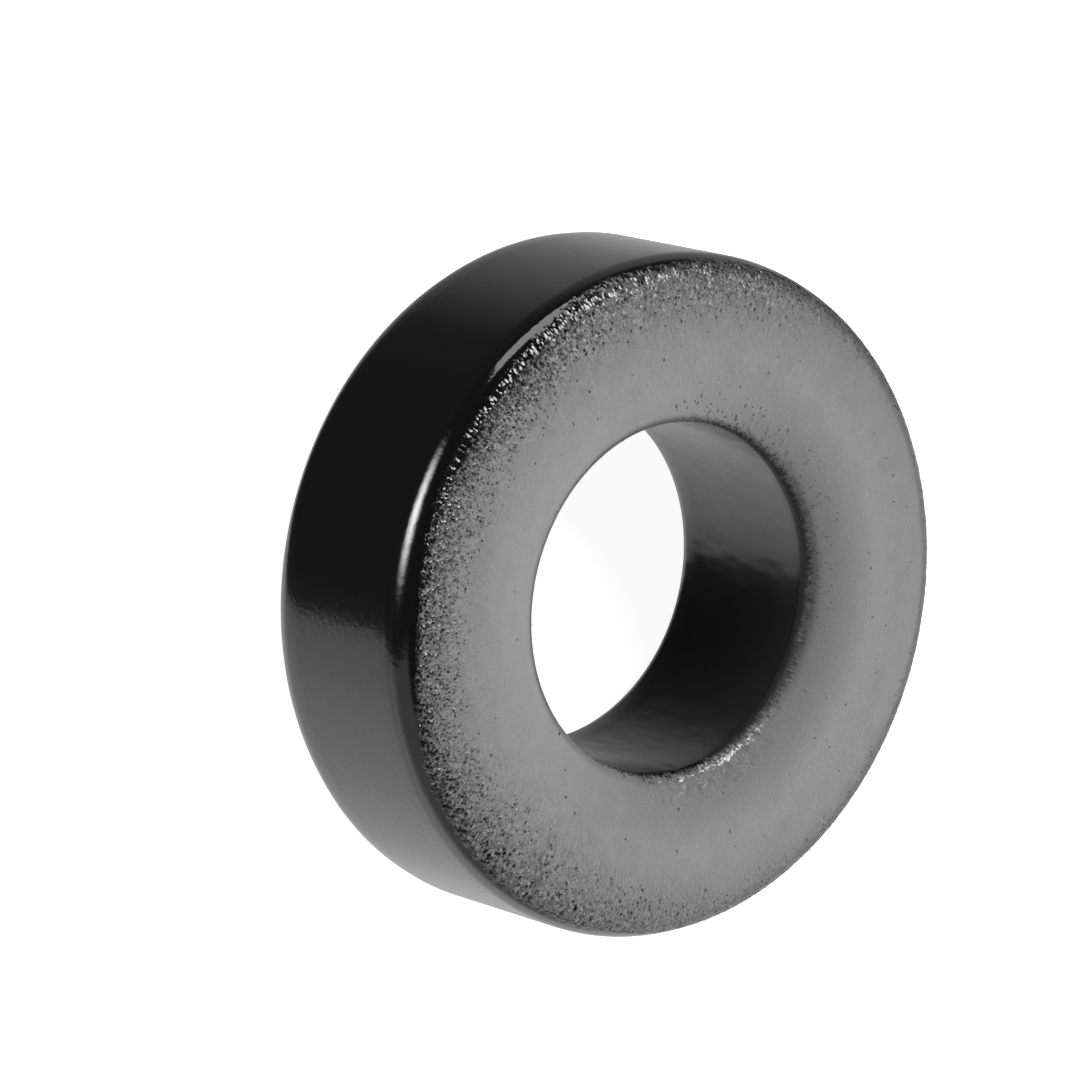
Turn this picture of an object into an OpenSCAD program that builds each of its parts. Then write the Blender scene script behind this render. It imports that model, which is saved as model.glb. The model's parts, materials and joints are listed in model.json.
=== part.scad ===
// Toroid core: a pressed ring of magnetic powder under a hard coat, lying flat on one face.
// The bore's axis is Z, the origin is the centre of the lower face, and the painted face is up.
// Each face has a narrow flat land. From the land a wide shallow arc eases down to the rim on the
// outside and to the lip on the inside, and a tighter arc then turns into the wall.

/* [Ring] */
// Outside diameter over the coat
outside_d = 20; // [18.6:0.1:40]
// Bore diameter inside the coat
bore_d = 10.2; // [5:0.1:11.6]
// Thickness from land to land
thickness = 6.5; // [4:0.1:15]

/* [Rim, round the outside] */
// Radius of the upper rim's edge
upper_rim_r = 0.9; // [0.3:0.05:1.5]
// Radius of the lower rim's edge
lower_rim_r = 0.9; // [0.3:0.05:1.5]
// Width that the rim and its ease take from the outer wall to the land
rim_band_w = 1.7; // [1.6:0.05:2.2]
// Slope at which the ease meets the rim's edge
rim_slope = 10; // [4:0.5:20]

/* [Lip, round the bore] */
// Radius of the upper lip's edge
upper_lip_r = 0.45; // [0.2:0.05:1.2]
// Radius of the lower lip's edge
lower_lip_r = 0.45; // [0.2:0.05:1.2]
// Width that the lip and its ease take from the bore's wall to the land
lip_band_w = 2.3; // [1.4:0.05:2.8]
// Slope at which the ease meets the lip's edge
lip_slope = 12; // [4:0.5:20]

/* [Hidden] */
outside_r = outside_d / 2;
bore_r = bore_d / 2;
// How far a corner's cutter reaches past the section
cutter_over = 0.1;
$fn = 128;

// Cutter for one corner of the section, with the wall along Y and the face along X.
// The ease's arc touches the face at band_w, and the edge's arc touches both it and the wall.
module corner_cutter(edge_r, band_w, slope) {
    ease_r = edge_r + (band_w - edge_r) / sin(slope);
    edge_y = ease_r - (ease_r - edge_r) * cos(slope);
    meet_x = edge_r * (1 - sin(slope));
    difference() {
        translate([-cutter_over, -cutter_over]) square([band_w + cutter_over, edge_y + cutter_over]);
        translate([edge_r, edge_y]) circle(r = edge_r);
        intersection() {
            translate([band_w, ease_r]) circle(r = ease_r);
            translate([meet_x, 0]) square([band_w - meet_x, edge_y]);
        }
    }
}

// Half section of the ring in the plane of its axis: X is the radius and Y is the height
module ring_section() {
    difference() {
        translate([bore_r, 0]) square([outside_r - bore_r, thickness]);
        translate([bore_r, 0]) corner_cutter(lower_lip_r, lip_band_w, lip_slope);
        translate([bore_r, thickness]) mirror([0, 1]) corner_cutter(upper_lip_r, lip_band_w, lip_slope);
        translate([outside_r, 0]) mirror([1, 0]) corner_cutter(lower_rim_r, rim_band_w, rim_slope);
        translate([outside_r, thickness]) mirror([1, 0]) mirror([0, 1])
            corner_cutter(upper_rim_r, rim_band_w, rim_slope);
    }
}

module core() {
    color("dimgray") rotate_extrude() ring_section();
}

core();
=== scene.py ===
"""Toroid core, lying on one face: a glossy black coat, with semi-matte grey paint on top.

The ring is the CAD section turned round its axis as one closed mesh. Lengths on it are in
millimetres along the section. One set of nodes works out where the paint ends and where the
coat's grains stand through it. The same nodes raise the grains in the mesh and colour them.
"""

from collections import namedtuple
import json
import math

import bpy
from mathutils import Matrix, Vector


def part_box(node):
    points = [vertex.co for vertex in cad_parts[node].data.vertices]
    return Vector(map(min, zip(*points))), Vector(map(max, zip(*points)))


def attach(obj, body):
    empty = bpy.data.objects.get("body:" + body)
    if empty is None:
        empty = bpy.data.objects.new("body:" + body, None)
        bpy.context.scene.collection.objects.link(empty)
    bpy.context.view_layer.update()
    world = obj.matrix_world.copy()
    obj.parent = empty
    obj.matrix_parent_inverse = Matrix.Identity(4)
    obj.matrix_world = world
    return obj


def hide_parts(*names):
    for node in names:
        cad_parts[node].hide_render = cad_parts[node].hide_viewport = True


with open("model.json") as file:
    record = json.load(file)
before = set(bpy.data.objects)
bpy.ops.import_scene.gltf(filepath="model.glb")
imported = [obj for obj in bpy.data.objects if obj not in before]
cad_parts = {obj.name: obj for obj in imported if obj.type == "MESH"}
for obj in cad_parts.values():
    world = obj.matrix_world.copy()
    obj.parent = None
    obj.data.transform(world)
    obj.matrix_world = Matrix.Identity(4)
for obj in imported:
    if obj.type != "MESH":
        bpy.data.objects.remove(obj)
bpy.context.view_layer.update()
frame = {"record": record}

MM = 0.001
LEVEL = (1.0, 1.0, 0.0)

# The ring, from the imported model
box_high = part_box("core")[1]
OUTSIDE_R = box_high.x / MM
THICKNESS = box_high.z / MM
BORE_R = next(m for m in frame["record"]["mounts"] if m["name"] == "bore")["dims"]["r_mm"]

# The edges, as in the CAD section: radius of the edge, width of the whole corner, and the slope
# in degrees at which the shallow ease meets the edge
RIM = dict(edge_r=0.9, band_w=1.7, slope=10.0)
LIP = dict(edge_r=0.45, band_w=2.3, slope=12.0)
# How much longer the rim's corner is along its surface than across
RIM_EXTRA = 0.51

# The mesh: divisions round the ring, and pitches along the section. It is fine where grains
# stand, from SMOOTH_RUN above the outer wall.
FINE_TURN = 1392
MIDDLE_TURN = FINE_TURN // 2
COARSE_TURN = MIDDLE_TURN // 2
FINE_PITCH = 0.05
LIP_PITCH = 0.085
MIDDLE_PITCH = 0.11
COARSE_PITCH = 0.28
SMOOTH_RUN = 0.45
WALL_ROWS = 12
LAND_ROWS = 3
# Run written on the underside, which has no paint
NO_RUN = -1.0

# Heights of the grains, of the ripples by the lip and of the coat's slow waves. The mesh sinks
# by the first and last over SINK_RUN up the rim, so that their tops stay in the CAD solid.
GRAIN_H = 0.020
RIPPLE_H = 0.08
PEEL_H = 0.004
SINK_RUN = (0.8, 2.0)

# Sides of the ring: azimuth, angle from it within which the side is full, and angle from it
# where it ends. The photo shows azimuth 270 at the left and 180 at the top.
SEEN_SIDE = (282.0, 68.0, 140.0)  # strong specks, and paint that starts higher up
DEEP_SIDE = (262.0, 75.0, 135.0)  # grains that reach far into the paint and glint
BARE_SIDE = (262.0, 20.0, 50.0)  # the most bare coat above the outer wall
WIDE_SIDE = (20.0, 30.0, 75.0)  # faint specks farther in
THICK_SIDE = (276.0, 32.0, 68.0)  # the most black grains
TOP_SIDE = (162.0, 20.0, 45.0)  # more black grains than beside it
FRINGE_SIDE = (92.0, 75.0, 122.0)  # black fringe at the lip
TEETH_SIDE = (102.0, 38.0, 82.0)  # the longest teeth of that fringe
STANDING_SIDE = (240.0, 18.0, 42.0)  # grains that stand on the bare coat too

# Zones of the ring: a side, and the values of some run at which the zone begins and is full
LIP_SPECKS = (148.0, 15.0, 62.0), (1.9, 0.2)
COMB = (228.0, 20.0, 44.0), (0.55, 0.25)
RIPPLES = (34.0, 8.0, 30.0), (0.7, 0.1)
WORN_RIM = (182.0, 30.0, 60.0), (1.15, 0.65)
SHINY_LIP = (32.0, 8.0, 32.0), (0.75, 0.4)
SHINY_PATCH = (26.0, 6.0, 32.0), (0.8, 0.2)
SHINY_GRAINS = (216.0, 22.0, 48.0), (0.9, 0.1)
MATTE_FRINGE = (102.0, 35.0, 75.0), (-0.15, 0.1)
BORE_HAZE = (165.0, 25.0, 58.0), (-0.5, -5.2)

# Zones by the lip where the paint's colour is darkened as painted shade, for how the light falls
# on the lip's slopes, and the share of its brightness that goes there
LIP_PAINTED_SHADE = (
    ((76.0, 35.0, 120.0), (2.7, 0.7), 0.31),
    ((178.0, 25.0, 60.0), (1.4, 0.4), 0.18),
    ((100.0, 30.0, 58.0), (0.8, 0.35), 0.4),
    ((268.0, 35.0, 70.0), (0.62, 0.35), 0.45),
)
WORN_RIM_LOSS = 0.65
WORN_IN_LOSS = 0.08

# The paint's edge above the outer wall: its run, what two sides add to it, how far it wanders,
# and how softly it ends
EDGE_RUN = 0.42
EDGE_SEEN = 0.35
EDGE_BARE = 0.37
EDGE_WANDER = 0.36
EDGE_SOFT = (-0.04, 0.05)

# How far the grains reach into the paint from there, and what two sides and chance add
REACH = 0.6
REACH_DEEP = 1.25
REACH_WIDE = 0.6
REACH_CLUMPS = 1.4

# Share of the grains that show black: at the paint's edge, with what two sides add, by the lip,
# and everywhere
BLACK_SHARE = 0.32
BLACK_THICK = 0.7
BLACK_TOP = 0.3
BLACK_NEAR_LIP = 0.25
BLACK_AT_LIP = 0.75
BLACK_EVERYWHERE = 0.006
BLACK_OF_LARGE = 0.3
AT_LIP = (0.6, 0.15)

# Black specks: size far in and at the paint's edge, where they end on a grain, and the least
# strength that chance and the far side leave them
SPECK_SIZE = (0.44, 0.68)
SPECK_RAGGED = 0.35
SPECK_EDGE = -0.02
SPECK_SOFT = (-0.06, 0.08)
SPECK_WEAKEST = 0.6

# Grains: pitch of their cells, spread of their sizes, and how many times they are drawn out
# toward the bore from the radius where they keep their size
GRAIN_R = 9.4
SMALL_CELL, SMALL_SPREAD, SMALL_DRAW = 0.092, 0.9, 1.3
LARGE_CELL, LARGE_SPREAD, LARGE_SIZE = 0.22, 0.8, 0.16
LONG_CELL, LONG_SPREAD, LONG_SIZE, LONG_DRAW = 0.088, 0.4, 0.75, 2.6
LONG_RISE = 0.3
LONG_LEAN = 0.6
STIR = 0.11

# The ragged end of the paint at the lip
TEETH_RUN = -0.36
TEETH_FRINGE = 0.2
TEETH_MORE = 0.05
TEETH_DEPTH = 0.82
TEETH_SOFT = (-0.12, 0.16)
LIP_SMOOTH = (0.0, 0.25)

# Noise: waves per millimetre and detail
STIR_NOISE = (11.0, 2.5)
RAGGED_NOISE = (5.0, 3.0)
CLUMP_NOISE = (1.1, 3.0)
SPECK_NOISE = (26.0, 1.0)
TEETH_NOISE = (10.0, 5.0)
RIPPLE_NOISE = (3.4, 3.0)
WAVE_NOISE = (0.9, 1.0)
MOTTLE_NOISE = (1.4, 4.0)
FINE_NOISE = (17.0, 2.0)
HAZE_NOISE = (1.3, 3.0)
PEEL_NOISE = (5.0, 2.0)
RUNS_NOISE = (1.5, 1.0)

# Brightness and roughness of the paint and of the bare coat
PAINT_GREY = 0.214
PAINT_MOTTLE = 0.055
PAINT_DARKEST = 0.02
PAINT_ROUGH = (0.24, 0.38)
COAT_GREY = 0.0032
BORE_GREY = 0.009
BORE_HAZE_GREY = 0.1
COAT_ROUGH = 0.15
COAT_ROUGHEST = 0.55
COAT_IOR = 1.6
FINE_ROUGH = 0.08

# Bump heights: the paint's close grain, the coat's peel outside and in the bore, the runs in the
# bore, which are drawn out along it, and the share of the mesh's relief that is added
CLOSE_BUMP = 0.0022
PEEL_BUMP = 0.005
BORE_PEEL_BUMP = 0.001
RUNS_BUMP = 0.03
RUNS_DRAW = (1.0, 1.0, 0.5)
RELIEF_BUMP = 0.6

# The photographed view: a pinhole camera fitted to the ring's edges. The face's centre is given
# right of, below and in front of the camera, in millimetres.
PHOTO_SIDE_PX = 1078
FOCAL_PX = 6649.5
SENSOR_W = 36.0
FACE_CENTRE = Vector((4.0955, 1.7917, 190.895))
AXIS_TILT = math.radians(40.075)
AXIS_SPIN = math.radians(14.083)

# The room: the floor's radius, the distance of the lit cards, the azimuth at which the white
# table meets the dark side as the coat mirrors it, and the table's brightness from there round
FLOOR_R = 1.5
FLOOR_SIDES = 64
FLOOR_GREY = 0.5
FLOOR_GLOW = 0.93
CARD_DISTANCE = 0.5
TABLE_EDGE = 306.0
TABLE = ((0, 0.95), (12, 1.14), (30, 1.35), (70, 1.35), (110, 1.1), (130, 0.77), (180, 0.62),
         (221, 0.38), (250, 0.08), (300, 0.065), (330, 0.08), (360, 0.1))
DARK = 0.055
CEILING = 0.8

# Lit cards: azimuth, elevation, width and height in degrees, brightness, and the share of the
# card over which it fades
CARDS = {
    "light_key": (173, 48, 25, 29, 13.0, 0.4),
    "light_strip": (199.5, 16.5, 40, 22, 3.6, 0.08),
    "light_low": (265, 4, 47, 38, 18.0, 1.0),
    "light_main": (72, 35, 80, 34, 3.35, 0.5),
    "light_patch": (116, 58, 14, 14, 4.5, 0.6),
}

Pattern = namedtuple("Pattern", "paint relief facet thin heading deep comb")


def node(tree, kind, output, inputs, **settings):
    """Adds a node, fills its inputs with values or links, and returns one of its outputs."""
    made = tree.nodes.new(kind)
    for name, value in settings.items():
        setattr(made, name, value)
    for key, value in inputs.items():
        if isinstance(value, bpy.types.NodeSocket):
            tree.links.new(value, made.inputs[key])
        else:
            made.inputs[key].default_value = value
    return made.outputs[output]


def calc(tree, operation, *values):
    """A Math node."""
    return node(tree, "ShaderNodeMath", 0, dict(enumerate(values)), operation=operation)


def vector_calc(tree, operation, *values):
    """A Vector Math node. A dot product or a length gives a number, and the rest a vector."""
    output = "Value" if operation in ("DOT_PRODUCT", "LENGTH") else "Vector"
    inputs = dict(enumerate(values))
    return node(tree, "ShaderNodeVectorMath", output, inputs, operation=operation)


def scaled(tree, vector, factor):
    """A vector times a number."""
    inputs = {0: vector, "Scale": factor}
    return node(tree, "ShaderNodeVectorMath", "Vector", inputs, operation="SCALE")


def mixed(tree, share, first, second):
    """The first number where share is 0, and the second where it is 1."""
    return node(tree, "ShaderNodeMix", 0, {0: share, 2: first, 3: second})


def step(tree, value, start, end, low=0.0, high=1.0):
    """Goes smoothly from low to high as value goes from start to end."""
    inputs = {"Value": value, "From Min": start, "From Max": end, "To Min": low, "To Max": high}
    return node(tree, "ShaderNodeMapRange", 0, inputs, interpolation_type="SMOOTHSTEP")


def noise(tree, vector, scale, detail, output=0):
    """A Noise texture, with its scale in waves per millimetre where vector is in millimetres."""
    inputs = {"Vector": vector, "Scale": scale, "Detail": detail}
    return node(tree, "ShaderNodeTexNoise", output, inputs)


def swing(tree, vector, scale, detail):
    """The same noise, as a number to either side of 0."""
    return calc(tree, "SUBTRACT", noise(tree, vector, scale, detail), 0.5)


def toward(tree, heading, azimuth, near, far):
    """1 within near degrees of that azimuth and 0 beyond far, by a level unit vector."""
    a = math.radians(azimuth)
    level = vector_calc(tree, "DOT_PRODUCT", heading, (math.cos(a), math.sin(a), 0.0))
    return step(tree, level, math.cos(math.radians(far)), math.cos(math.radians(near)))


def zone(tree, heading, value, side, span, low=0.0, high=1.0):
    """How far a point lies in a side of the ring, times a step of that value over the span."""
    return calc(tree, "MULTIPLY", toward(tree, heading, *side),
                step(tree, value, *span, low, high))


def dimmed(tree, value, share, loss):
    """A value that loses that part of itself where share is 1."""
    return calc(tree, "MULTIPLY", value, calc(tree, "MULTIPLY_ADD", share, -loss, 1.0))


def distance_from(tree, value, middle):
    """How far a value is from the middle one, to either side."""
    return calc(tree, "ABSOLUTE", calc(tree, "SUBTRACT", value, middle))


def corner_point(run, edge_r, band_w, slope):
    """The point of a corner at that run from the wall: how far from the wall and below the face."""
    slope = math.radians(slope)
    ease_r = edge_r + (band_w - edge_r) / math.sin(slope)
    edge_y = ease_r - (ease_r - edge_r) * math.cos(slope)
    edge_run = edge_r * (math.pi / 2 - slope)
    if run < edge_run:
        lean = math.pi / 2 - run / edge_r
        return edge_r - edge_r * math.sin(lean), edge_y - edge_r * math.cos(lean)
    lean = slope - (run - edge_run) / ease_r
    return band_w - ease_r * math.sin(lean), ease_r - ease_r * math.cos(lean)


def corner_run(edge_r, band_w, slope):
    """Length of a corner along the section, from the wall to the land."""
    slope = math.radians(slope)
    ease_r = edge_r + (band_w - edge_r) / math.sin(slope)
    return edge_r * (math.pi / 2 - slope) + ease_r * slope


def spaced(start, end, pitch):
    """Values from start to end at about that pitch, both ends included."""
    steps = max(1, math.ceil(abs(end - start) / pitch))
    return [start + (end - start) * i / steps for i in range(steps + 1)]


def section_rows():
    """The section as a closed loop of (radius, height, run from the outer wall, run from the bore
    wall, divisions round the ring). It starts on the upper land and goes outward and down."""
    rim_run, lip_run = corner_run(**RIM), corner_run(**LIP)
    land_out, land_in = OUTSIDE_R - RIM["band_w"], BORE_R + LIP["band_w"]
    land_w = land_out - land_in
    land_pitch = land_w / LAND_ROWS
    wall_pitch = THICKNESS / WALL_ROWS
    rim_edge_y, lip_edge_y = corner_point(0, **RIM)[1], corner_point(0, **LIP)[1]
    far = rim_run + lip_run + land_w
    rows = []
    for r in spaced(land_out - land_pitch, land_out, land_pitch):
        rows.append((r, THICKNESS, rim_run + land_out - r, lip_run + r - land_in, FINE_TURN))
    for run in spaced(rim_run, SMOOTH_RUN, FINE_PITCH)[1:]:
        x, y = corner_point(run, **RIM)
        rows.append((OUTSIDE_R - x, THICKNESS - y, run, far - run, FINE_TURN))
    for run in spaced(SMOOTH_RUN, 0, MIDDLE_PITCH)[1:]:
        x, y = corner_point(run, **RIM)
        rows.append((OUTSIDE_R - x, THICKNESS - y, run, far - run, MIDDLE_TURN))
    for z in spaced(THICKNESS - rim_edge_y, rim_edge_y, wall_pitch)[1:]:
        rows.append((OUTSIDE_R, z, z + rim_edge_y - THICKNESS, NO_RUN, COARSE_TURN))
    for run in spaced(0, rim_run, COARSE_PITCH)[1:]:
        x, y = corner_point(run, **RIM)
        rows.append((OUTSIDE_R - x, y, NO_RUN, NO_RUN, COARSE_TURN))
    for run in spaced(lip_run, 0, COARSE_PITCH):
        x, y = corner_point(run, **LIP)
        rows.append((BORE_R + x, y, NO_RUN, NO_RUN, COARSE_TURN))
    for z in spaced(lip_edge_y, THICKNESS - lip_edge_y, wall_pitch)[1:]:
        rows.append((BORE_R, z, far, z + lip_edge_y - THICKNESS, COARSE_TURN))
    for run in spaced(0, lip_run, LIP_PITCH)[1:]:
        x, y = corner_point(run, **LIP)
        rows.append((BORE_R + x, THICKNESS - y, far - run, run, MIDDLE_TURN))
    for r in spaced(land_in, land_out - land_pitch, land_pitch)[1:-1]:
        rows.append((r, THICKNESS, rim_run + land_out - r, lip_run + r - land_in, MIDDLE_TURN))
    return rows


def ring_between(faces, start_a, turn_a, start_b, turn_b):
    """Faces from one ring of vertices to the next. Where one has twice the divisions, three
    triangles fill each coarse step."""
    if turn_a == turn_b:
        for k in range(turn_a):
            n = (k + 1) % turn_a
            faces.append((start_a + k, start_b + k, start_b + n, start_a + n))
        return
    for k in range(min(turn_a, turn_b)):
        n = (k + 1) % min(turn_a, turn_b)
        three = (2 * k, 2 * k + 1, 2 * k + 2)
        if turn_a > turn_b:
            fine, middle, last = (start_a + i % turn_a for i in three)
            faces.append((fine, start_b + k, middle))
            faces.append((middle, start_b + k, start_b + n))
            faces.append((middle, start_b + n, last))
        else:
            fine, middle, last = (start_b + i % turn_b for i in three)
            faces.append((start_a + k, fine, middle))
            faces.append((start_a + k, middle, start_a + n))
            faces.append((start_a + n, middle, last))


def ring_mesh():
    """The ring before its relief, with each point's place and runs kept as attributes."""
    rows = section_rows()
    places, rest, rim_runs, lip_runs, starts, faces = [], [], [], [], [], []
    for r, z, rim_run, lip_run, turn in rows:
        starts.append(len(places))
        for k in range(turn):
            a = 2 * math.pi * k / turn
            point = (r * math.cos(a), r * math.sin(a), z)
            places.append(tuple(c * MM for c in point))
            rest.extend(point)
            rim_runs.append(rim_run)
            lip_runs.append(lip_run)
    for i, row in enumerate(rows):
        j = (i + 1) % len(rows)
        ring_between(faces, starts[i], row[4], starts[j], rows[j][4])
    mesh = bpy.data.meshes.new("core")
    mesh.from_pydata(places, [], faces)
    mesh.attributes.new("rest", "FLOAT_VECTOR", "POINT").data.foreach_set("vector", rest)
    mesh.attributes.new("rim_run", "FLOAT", "POINT").data.foreach_set("value", rim_runs)
    mesh.attributes.new("lip_run", "FLOAT", "POINT").data.foreach_set("value", lip_runs)
    mesh.shade_smooth()
    return mesh


def grains(tree, plane, stir, cell, size, spread):
    """Grains scattered over a plane at that cell size, with their outlines stirred: how far up
    each point is on a grain, from 0 at its foot to 1 at its top, two numbers of the grain's own,
    and the height of a flat facet that leans the grain's own way."""
    stirred = vector_calc(tree, "ADD", plane, stir)
    voronoi = node(tree, "ShaderNodeTexVoronoi", 0, {"Vector": stirred, "Scale": 1 / cell},
                   voronoi_dimensions="2D").node.outputs
    own = node(tree, "ShaderNodeSeparateXYZ", 0, {"Vector": voronoi["Color"]}).node.outputs
    share = calc(tree, "MULTIPLY_ADD", own[1], spread, 1 - spread / 2)
    near = calc(tree, "DIVIDE", voronoi["Distance"], calc(tree, "MULTIPLY", size, share))
    lean = node(tree, "ShaderNodeCombineXYZ", 0, {0: calc(tree, "SUBTRACT", own[1], 0.5),
                                                  1: calc(tree, "SUBTRACT", own[2], 0.5)})
    from_centre = vector_calc(tree, "SUBTRACT", plane, voronoi["Position"])
    facet = vector_calc(tree, "DOT_PRODUCT", from_centre, lean)
    risen = calc(tree, "MAXIMUM", calc(tree, "SUBTRACT", 1.0, near), 0.0)
    return risen, own[0], own[2], facet


def face_pattern(tree, rest, rim_run, lip_run):
    """The paint and the grains at each point: how much of it the paint covers, from 0 to 1; the
    relief and the facets in millimetres; how far past the paint's edge it lies as a share of the
    grains' reach; its heading; and how far it lies on the deep side and in the comb."""
    heading = vector_calc(tree, "NORMALIZE", vector_calc(tree, "MULTIPLY", rest, LEVEL))
    rolled = calc(tree, "SUBTRACT", OUTSIDE_R + RIM_EXTRA, rim_run)
    stir = noise(tree, rest, *STIR_NOISE, output=1)
    stir = scaled(tree, vector_calc(tree, "SUBTRACT", stir, (0.5, 0.5, 0.5)), STIR)

    def laid_flat(draw):
        """The face and its edges laid out flat, so that grains keep their size over the edges, and
        are drawn out toward the bore that many times."""
        radius = calc(tree, "MULTIPLY_ADD", rolled, 1 / draw, GRAIN_R * (1 - 1 / draw))
        return scaled(tree, heading, radius)

    # Where the paint starts above the outer wall, and how far in the grains reach from there
    seen = toward(tree, heading, *SEEN_SIDE)
    deep = toward(tree, heading, *DEEP_SIDE)
    edge = calc(tree, "MULTIPLY_ADD", seen, EDGE_SEEN, EDGE_RUN)
    edge = calc(tree, "MULTIPLY_ADD", toward(tree, heading, *BARE_SIDE), EDGE_BARE, edge)
    past = calc(tree, "SUBTRACT", rim_run, edge)
    past = calc(tree, "MULTIPLY_ADD", swing(tree, rest, *RAGGED_NOISE), EDGE_WANDER, past)
    reach = calc(tree, "MULTIPLY_ADD", deep, REACH_DEEP, REACH)
    reach = calc(tree, "MULTIPLY_ADD", toward(tree, heading, *WIDE_SIDE), REACH_WIDE, reach)
    reach = calc(tree, "MULTIPLY_ADD", swing(tree, rest, *CLUMP_NOISE), REACH_CLUMPS, reach)
    thin = calc(tree, "DIVIDE", past, reach)

    # Share of the grains that show black: most at the paint's edge, few past the reach
    thick_side, top_side = toward(tree, heading, *THICK_SIDE), toward(tree, heading, *TOP_SIDE)
    weight = calc(tree, "MULTIPLY_ADD", thick_side, BLACK_THICK, BLACK_SHARE)
    weight = calc(tree, "MULTIPLY_ADD", top_side, BLACK_TOP, weight)
    fringed = toward(tree, heading, *FRINGE_SIDE)
    near_lip = zone(tree, heading, lip_run, *LIP_SPECKS, 0.0, BLACK_NEAR_LIP)
    at_lip = calc(tree, "MULTIPLY", fringed, step(tree, lip_run, *AT_LIP, 0.0, BLACK_AT_LIP))
    presence = calc(tree, "MULTIPLY_ADD", step(tree, thin, 1.05, 0.05), weight,
                    calc(tree, "ADD", near_lip, at_lip))
    presence = calc(tree, "ADD", presence, BLACK_EVERYWHERE)
    size = step(tree, thin, 0.5, 0.0, *SPECK_SIZE)
    small, chance, tone, facet = grains(tree, laid_flat(SMALL_DRAW), stir, SMALL_CELL, size,
                                        SMALL_SPREAD)
    large, large_chance = grains(tree, laid_flat(1.0), stir, LARGE_CELL, LARGE_SIZE,
                                 LARGE_SPREAD)[:2]
    small_black = calc(tree, "MULTIPLY", small, calc(tree, "LESS_THAN", chance, presence))
    sparse = calc(tree, "MULTIPLY", presence, BLACK_OF_LARGE)
    large_black = calc(tree, "MULTIPLY", large, calc(tree, "LESS_THAN", large_chance, sparse))
    grain = calc(tree, "MAXIMUM", small_black, large_black)

    # Their tops stand black through the paint, some of them only in part
    ragged = noise(tree, rest, *SPECK_NOISE)
    speck_edge = calc(tree, "MULTIPLY_ADD", ragged, SPECK_RAGGED, SPECK_EDGE)
    shown = step(tree, calc(tree, "SUBTRACT", grain, speck_edge), *SPECK_SOFT)
    by_chance, by_side = (calc(tree, "MULTIPLY_ADD", share, 1 - SPECK_WEAKEST, SPECK_WEAKEST)
                          for share in (tone, seen))
    strong = calc(tree, "MULTIPLY", by_chance, by_side)
    strong = calc(tree, "MAXIMUM", strong, step(tree, thin, 0.25, 0.0))
    specks = calc(tree, "MULTIPLY", shown, strong)

    # The paint ends softly above the outer wall, and in ragged teeth at the lip
    rim_paint = step(tree, past, *EDGE_SOFT)
    round_lip = vector_calc(tree, "ADD", scaled(tree, heading, BORE_R),
                            scaled(tree, (0.0, 0.0, 0.4), lip_run))
    teeth = calc(tree, "MULTIPLY_ADD", toward(tree, heading, *TEETH_SIDE), TEETH_MORE, TEETH_RUN)
    teeth = calc(tree, "MULTIPLY_ADD", fringed, TEETH_FRINGE, teeth)
    teeth = calc(tree, "MULTIPLY_ADD", noise(tree, round_lip, *TEETH_NOISE), TEETH_DEPTH, teeth)
    lip_paint = step(tree, calc(tree, "SUBTRACT", lip_run, teeth), *TEETH_SOFT)
    paint = calc(tree, "MULTIPLY", rim_paint, lip_paint)
    paint = calc(tree, "MULTIPLY", paint, calc(tree, "SUBTRACT", 1.0, specks))

    # Painted grains stand up too. On one side long grains run like a comb from the bare coat into
    # the paint. Above them and down the walls the coat is smooth.
    comb = zone(tree, heading, past, *COMB)
    long, _, _, long_facet = grains(tree, laid_flat(LONG_DRAW), scaled(tree, stir, 0.5), LONG_CELL,
                                    LONG_SIZE, LONG_SPREAD)
    raised = calc(tree, "MULTIPLY", small, step(tree, thin, 1.3, 0.1, 0.15, 1.0))
    raised = calc(tree, "MAXIMUM", raised, grain)
    raised = mixed(tree, comb, raised, calc(tree, "MULTIPLY", long, LONG_RISE))
    start = calc(tree, "MULTIPLY_ADD", toward(tree, heading, *STANDING_SIDE), -0.17, -0.08)
    rough_part = step(tree, calc(tree, "SUBTRACT", past, start), -0.06, 0.06)
    rough_part = calc(tree, "MULTIPLY", rough_part, step(tree, lip_run, *LIP_SMOOTH))
    raised = calc(tree, "MULTIPLY", raised, rough_part)
    dome = calc(tree, "POWER", calc(tree, "SUBTRACT", 1.0, raised), 2.0)
    dome = calc(tree, "SUBTRACT", 1.0, dome)
    facet = calc(tree, "MULTIPLY", facet, step(tree, thin, 1.4, 0.0, 0.1, 1.0))
    facet = calc(tree, "MULTIPLY", facet, calc(tree, "MULTIPLY_ADD", deep, 0.75, 0.25))
    facet = mixed(tree, comb, facet, calc(tree, "MULTIPLY", long_facet, LONG_LEAN))
    facet = calc(tree, "MULTIPLY", facet, rough_part)
    facet = calc(tree, "MULTIPLY", facet, step(tree, lip_run, 0.6, 1.6))

    # Low ripples in the paint by the lip
    rippled = zone(tree, heading, distance_from(tree, lip_run, 0.7), *RIPPLES)
    ripples = calc(tree, "MULTIPLY", swing(tree, rest, *RIPPLE_NOISE), rippled)
    relief = calc(tree, "MULTIPLY_ADD", dome, GRAIN_H, calc(tree, "MULTIPLY", ripples, RIPPLE_H))
    return Pattern(paint, relief, facet, thin, heading, deep, comb)


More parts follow.
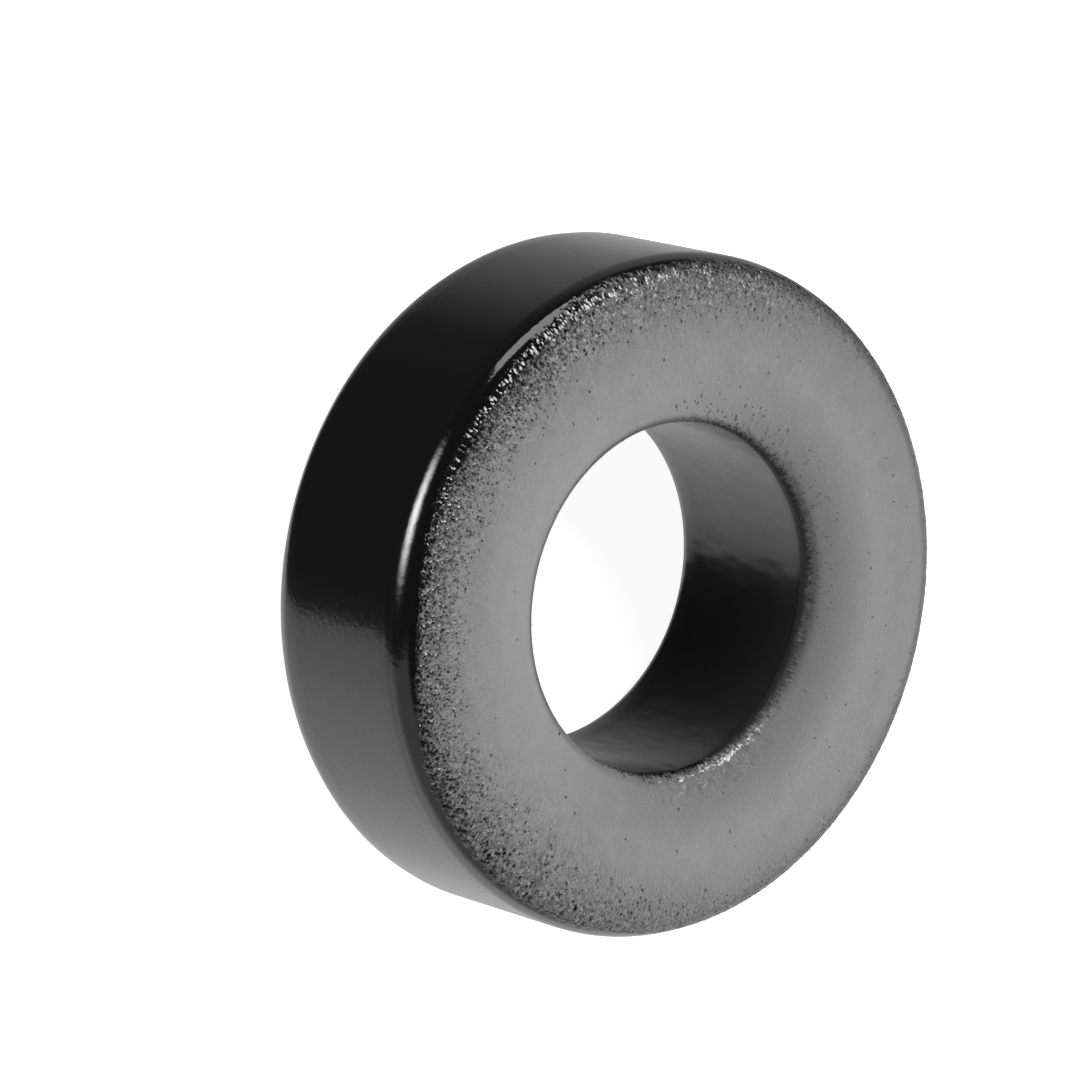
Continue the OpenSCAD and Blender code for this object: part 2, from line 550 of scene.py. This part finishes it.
def add_relief(ring):
    """Raises the grains, the ripples and the coat's slow waves in the mesh itself."""
    tree = bpy.data.node_groups.new("relief", "GeometryNodeTree")
    tree.interface.new_socket("Geometry", in_out="INPUT", socket_type="NodeSocketGeometry")
    tree.interface.new_socket("Geometry", in_out="OUTPUT", socket_type="NodeSocketGeometry")
    source = tree.nodes.new("NodeGroupInput")
    result = tree.nodes.new("NodeGroupOutput")

    def kept(name, kind):
        return node(tree, "GeometryNodeInputNamedAttribute", "Attribute", {"Name": name},
                    data_type=kind)

    rest = kept("rest", "FLOAT_VECTOR")
    rim_run = kept("rim_run", "FLOAT")
    relief = face_pattern(tree, rest, rim_run, kept("lip_run", "FLOAT")).relief
    wave = calc(tree, "MULTIPLY", noise(tree, rest, *WAVE_NOISE), PEEL_H)
    height = calc(tree, "ADD", relief, wave)
    sunk = step(tree, rim_run, *SINK_RUN, PEEL_H, GRAIN_H + PEEL_H)
    depth = calc(tree, "MULTIPLY", calc(tree, "SUBTRACT", height, sunk), MM)
    normal = node(tree, "GeometryNodeInputNormal", 0, {})
    moved = node(tree, "GeometryNodeSetPosition", 0,
                 {"Geometry": source.outputs[0], "Offset": scaled(tree, normal, depth)})
    tree.links.new(moved, result.inputs[0])
    ring.modifiers.new("relief", "NODES").node_group = tree
    depsgraph = bpy.context.evaluated_depsgraph_get()
    shaped = bpy.data.meshes.new_from_object(ring.evaluated_get(depsgraph))
    ring.modifiers.clear()
    plain = ring.data
    ring.data = shaped
    bpy.data.meshes.remove(plain)
    shaped.name = "core_ring"


def grey(value):
    return (value, value, value, 1.0)


def new_material(name):
    """A material with an empty node tree and its output node."""
    material = bpy.data.materials.new(name)
    material.use_nodes = True
    material.node_tree.nodes.clear()
    return material, material.node_tree, material.node_tree.nodes.new("ShaderNodeOutputMaterial")


def ring_material():
    """The black coat with the paint over it, by the same pattern as the mesh."""
    material = bpy.data.materials.new("coat_and_paint")
    material.use_nodes = True
    tree = material.node_tree
    shader = tree.nodes["Principled BSDF"]

    def kept(name, output):
        return node(tree, "ShaderNodeAttribute", output, {}, attribute_name=name)

    rest = kept("rest", "Vector")
    rim_run, lip_run = kept("rim_run", "Fac"), kept("lip_run", "Fac")
    pattern = face_pattern(tree, rest, rim_run, lip_run)
    heading, thin = pattern.heading, pattern.thin
    radius = vector_calc(tree, "LENGTH", vector_calc(tree, "MULTIPLY", rest, LEVEL))
    inside = calc(tree, "MULTIPLY", step(tree, lip_run, 0.1, -0.3),
                  step(tree, radius, BORE_R + 0.4, BORE_R))
    fine = swing(tree, rest, *FINE_NOISE)

    # The paint is a little uneven in brightness. It is darker along the rim, where the black shows
    # through it. By the lip its colour is darkened as painted shade, for how the light falls on its
    # slopes.
    bright = calc(tree, "MULTIPLY_ADD", swing(tree, rest, *MOTTLE_NOISE), PAINT_MOTTLE, PAINT_GREY)
    uneven = step(tree, thin, 1.2, 0.1, 0.08, 0.6)
    bright = calc(tree, "MULTIPLY_ADD", fine, uneven, bright)
    bright = calc(tree, "MULTIPLY", bright, step(tree, rim_run, 0.8, 3.0, 0.7, 1.0))
    worn_in = calc(tree, "MULTIPLY", pattern.deep, step(tree, rim_run, 3.5, 2.2))
    # Painted shade by the lip, for how the light falls on its slopes
    for side, span, loss in LIP_PAINTED_SHADE:
        bright = dimmed(tree, bright, zone(tree, heading, lip_run, side, span), loss)
    bright = dimmed(tree, bright, zone(tree, heading, rim_run, *WORN_RIM), WORN_RIM_LOSS)
    bright = dimmed(tree, bright, worn_in, WORN_IN_LOSS)
    bright = calc(tree, "MAXIMUM", bright, PAINT_DARKEST)
    painted = node(tree, "ShaderNodeCombineColor", 0, {0: bright, 1: bright, 2: bright})

    # The bare coat is black, a little lighter in the bore, with a mottled grey haze on one side of
    # the bore that grows toward its foot
    coat_tone = zone(tree, heading, lip_run, *BORE_HAZE, 0.6, 1.8)
    coat_tone = calc(tree, "MULTIPLY", coat_tone, noise(tree, rest, *HAZE_NOISE))
    coat_tone = calc(tree, "MULTIPLY", calc(tree, "MULTIPLY_ADD", coat_tone, BORE_HAZE_GREY, BORE_GREY), inside)
    coat_tone = calc(tree, "ADD", coat_tone, COAT_GREY)
    bare_coat = node(tree, "ShaderNodeCombineColor", 0, {0: coat_tone, 1: coat_tone, 2: coat_tone})
    base = node(tree, "ShaderNodeMix", 2, {0: pattern.paint, 6: bare_coat, 7: painted},
                data_type="RGBA")

    # Roughness of the paint, shinier by the lip on one side and among the grains, and of the coat,
    # which is matte in the fringe at the lip
    matte = step(tree, thin, 0.0, 0.5, *PAINT_ROUGH)
    matte = calc(tree, "MULTIPLY_ADD", zone(tree, heading, lip_run, *SHINY_LIP), -0.26, matte)
    patch = zone(tree, heading, distance_from(tree, lip_run, 0.9), *SHINY_PATCH)
    matte = calc(tree, "MAXIMUM", calc(tree, "MULTIPLY_ADD", patch, -0.13, matte), 0.12)
    glinting = zone(tree, heading, thin, *SHINY_GRAINS)
    matte = calc(tree, "MAXIMUM", calc(tree, "MULTIPLY_ADD", glinting, -0.2, matte), 0.11)
    gloss = calc(tree, "MULTIPLY_ADD", inside, 0.09, COAT_ROUGH)
    gloss = calc(tree, "MULTIPLY_ADD", pattern.comb, -0.07, gloss)
    fringe = zone(tree, heading, lip_run, *MATTE_FRINGE)
    by_bore = calc(tree, "LESS_THAN", radius, BORE_R + 2.0)
    gloss = calc(tree, "MINIMUM", calc(tree, "MULTIPLY_ADD", fringe, by_bore, gloss),
                 COAT_ROUGHEST)
    rough = mixed(tree, step(tree, pattern.paint, 0.2, 0.9), gloss, matte)
    rough = calc(tree, "MULTIPLY_ADD", fine, FINE_ROUGH, rough)

    # Paint has a close grain. The coat has an orange peel, and in the bore it is drawn out in runs.
    close = calc(tree, "MULTIPLY", fine, calc(tree, "MULTIPLY", pattern.paint, CLOSE_BUMP))
    peel_height = calc(tree, "MULTIPLY_ADD", inside, BORE_PEEL_BUMP - PEEL_BUMP, PEEL_BUMP)
    peel = calc(tree, "MULTIPLY", noise(tree, rest, *PEEL_NOISE), peel_height)
    runs = noise(tree, vector_calc(tree, "MULTIPLY", rest, RUNS_DRAW), *RUNS_NOISE)
    runs = calc(tree, "MULTIPLY", calc(tree, "MULTIPLY", runs, inside), RUNS_BUMP)
    height = calc(tree, "ADD", calc(tree, "ADD", close, peel), runs)
    height = calc(tree, "ADD", height, pattern.facet)
    height = calc(tree, "MULTIPLY_ADD", pattern.relief, RELIEF_BUMP, height)
    bump = node(tree, "ShaderNodeBump", 0, {"Strength": 1.0, "Distance": MM, "Height": height})

    tree.links.new(base, shader.inputs["Base Color"])
    tree.links.new(rough, shader.inputs["Roughness"])
    tree.links.new(bump, shader.inputs["Normal"])
    shader.inputs["IOR"].default_value = COAT_IOR
    return material


def build_ring():
    ring = bpy.data.objects.new("core_ring", ring_mesh())
    bpy.context.scene.collection.objects.link(ring)
    add_relief(ring)
    ring.data.materials.clear()
    ring.data.materials.append(ring_material())
    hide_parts("core")
    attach(ring, "root")


def unit(azimuth, elevation):
    """Unit vector toward that azimuth and elevation, in degrees."""
    a, e = math.radians(azimuth), math.radians(elevation)
    return Vector((math.cos(a) * math.cos(e), math.sin(a) * math.cos(e), math.sin(e)))


def build_camera():
    """Places the camera so that the ring lies in the frame as it does in the photograph."""
    axis = Vector((math.sin(AXIS_TILT) * math.cos(AXIS_SPIN),
                   math.sin(AXIS_TILT) * math.sin(AXIS_SPIN), -math.cos(AXIS_TILT)))
    sight = -FACE_CENTRE.normalized()
    far_side = -(sight - axis * sight.dot(axis)).normalized()
    to_ring = Matrix((far_side.cross(axis), far_side, axis))
    data = bpy.data.cameras.new("camera")
    data.sensor_width = SENSOR_W
    data.lens = FOCAL_PX / PHOTO_SIDE_PX * SENSOR_W
    data.clip_start, data.clip_end = 0.01, 5.0
    camera = bpy.data.objects.new("camera", data)
    right, up, back = (to_ring @ Vector(v) for v in ((1, 0, 0), (0, -1, 0), (0, 0, -1)))
    turned = Matrix((right, up, back)).transposed().to_4x4()
    place = (Vector((0, 0, THICKNESS)) - to_ring @ FACE_CENTRE) * MM
    camera.matrix_world = Matrix.Translation(place) @ turned
    bpy.context.scene.collection.objects.link(camera)
    bpy.context.scene.camera = camera


def build_card(name, azimuth, elevation, width, height, brightness, soft):
    """A lit card that faces the ring and that the camera doesn't see."""
    x = CARD_DISTANCE * math.tan(math.radians(width / 2))
    y = CARD_DISTANCE * math.tan(math.radians(height / 2))
    mesh = bpy.data.meshes.new(name)
    mesh.from_pydata([(-x, -y, 0), (x, -y, 0), (x, y, 0), (-x, y, 0)], [], [(0, 1, 2, 3)])
    corners = mesh.uv_layers.new(name="span").data
    for corner, place in zip(corners, ((-1, -1), (1, -1), (1, 1), (-1, 1))):
        corner.uv = place
    card = bpy.data.objects.new(name, mesh)
    card.location = unit(azimuth, elevation) * CARD_DISTANCE
    card.rotation_mode = "QUATERNION"
    card.rotation_quaternion = unit(azimuth, elevation).to_track_quat("-Z", "Y")
    card.visible_camera = False
    material, tree, output = new_material(name)
    span = vector_calc(tree, "ABSOLUTE", node(tree, "ShaderNodeUVMap", 0, {}, uv_map="span"))
    across = node(tree, "ShaderNodeSeparateXYZ", 0, {"Vector": span}).node.outputs
    fade = calc(tree, "MULTIPLY", step(tree, across[0], 1.0, 1 - soft),
                step(tree, across[1], 1.0, 1 - soft))
    front = calc(tree, "SUBTRACT", 1.0, node(tree, "ShaderNodeNewGeometry", "Backfacing", {}))
    strength = calc(tree, "MULTIPLY", calc(tree, "MULTIPLY", fade, brightness), front)
    glow = node(tree, "ShaderNodeEmission", 0, {"Strength": strength})
    tree.links.new(glow, output.inputs["Surface"])
    mesh.materials.append(material)
    bpy.context.scene.collection.objects.link(card)


def seen_plainly(tree):
    """The outputs of a Light Path node, and 1 for rays that see the background as it is."""
    rays = tree.nodes.new("ShaderNodeLightPath").outputs
    return rays, calc(tree, "MAXIMUM", rays["Is Camera Ray"], rays["Is Transmission Ray"])


def build_world():
    """White to the camera. To the ring it is a room, with a white table on one side and dark on
    the other."""
    world = bpy.data.worlds.new("room")
    bpy.context.scene.world = world
    world.use_nodes = True
    tree = world.node_tree
    tree.nodes.clear()
    direction = node(tree, "ShaderNodeTexCoord", "Generated", {})
    turned = [vector_calc(tree, "DOT_PRODUCT", direction, tuple(unit(TABLE_EDGE - 180 + turn, 0)))
              for turn in (0, 90)]
    angle = calc(tree, "ARCTAN2", turned[1], turned[0])
    share = calc(tree, "MULTIPLY_ADD", angle, 1 / (2 * math.pi), 0.5)
    ramp = node(tree, "ShaderNodeValToRGB", 0, {"Fac": share}).node
    stops = ramp.color_ramp.elements
    while len(stops) > 1:
        stops.remove(stops[0])
    for i, (turn, value) in enumerate(TABLE):
        stop = stops[0] if i == 0 else stops.new(turn / 360)
        stop.position = turn / 360
        stop.color = grey(value / 2)
    height = node(tree, "ShaderNodeSeparateXYZ", 2, {"Vector": direction})
    low = calc(tree, "MULTIPLY", ramp.outputs[0], step(tree, height, -0.72, -0.3, 2.0, 2.8))
    high = mixed(tree, step(tree, share, 0.36, 0.3), DARK,
                 step(tree, height, 0.75, 0.6, DARK, CEILING))
    room = mixed(tree, step(tree, height, -0.35, -0.05), low, high)
    strength = mixed(tree, seen_plainly(tree)[1], room, 1.0)
    background = node(tree, "ShaderNodeBackground", 0, {"Strength": strength})
    output = tree.nodes.new("ShaderNodeOutputWorld")
    tree.links.new(background, output.inputs["Surface"])


def build_floor():
    """A plain white floor with the ring's shadow. Mirrored rays pass it to the room."""
    mesh = bpy.data.meshes.new("floor")
    corners = [tuple(unit(360 * k / FLOOR_SIDES, 0) * FLOOR_R) for k in range(FLOOR_SIDES)]
    mesh.from_pydata(corners, [], [tuple(range(FLOOR_SIDES))])
    floor = bpy.data.objects.new("floor", mesh)
    bpy.context.scene.collection.objects.link(floor)
    material, tree, output = new_material("floor")
    rays, plain = seen_plainly(tree)
    lit = node(tree, "ShaderNodeBsdfDiffuse", 0, {"Color": grey(FLOOR_GREY)})
    strength = calc(tree, "MULTIPLY", plain, FLOOR_GLOW)
    glow = node(tree, "ShaderNodeEmission", 0, {"Strength": strength})
    white = node(tree, "ShaderNodeAddShader", 0, {0: lit, 1: glow})
    through = node(tree, "ShaderNodeBsdfTransparent", 0, {})
    both = node(tree, "ShaderNodeMixShader", 0, {0: rays["Is Glossy Ray"], 1: white, 2: through})
    tree.links.new(both, output.inputs["Surface"])
    mesh.materials.append(material)


bpy.context.scene.view_settings.view_transform = "Standard"
build_camera()
build_ring()
build_floor()
build_world()
for card_name, card_values in CARDS.items():
    build_card(card_name, *card_values)
